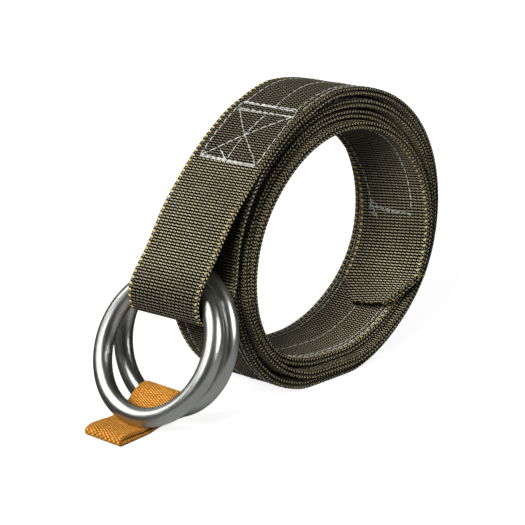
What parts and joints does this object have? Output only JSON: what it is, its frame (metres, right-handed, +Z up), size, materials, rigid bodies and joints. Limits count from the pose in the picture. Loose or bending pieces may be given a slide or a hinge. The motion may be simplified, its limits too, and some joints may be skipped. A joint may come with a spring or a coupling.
{
  "type": "ring belt",
  "caption": "Webbing belt with a pair of plain round steel rings sewn into its end, rolled into an upright coil, with a looped pull tab of narrow webbing.",
  "frame": {"origin": "on the floor, in the flattened foot of the roll, under the roll's axis", "axes": "+Y along the roll's axis, away from the viewer's side; +Z up; the rings and the pull tab lie towards -X"},
  "size_m": [0.1856, 0.0698, 0.1293],
  "materials": {
    "belt_webbing": "matte woven",
    "ring_steel": "satin to polished",
    "tab_webbing": "matte woven"
  },
  "bodies": {
    "root": {"webbing": "belt_webbing", "ring_front": "ring_steel", "ring_back": "ring_steel", "pull_tab": "tab_webbing"}
  },
  "joints": []
}
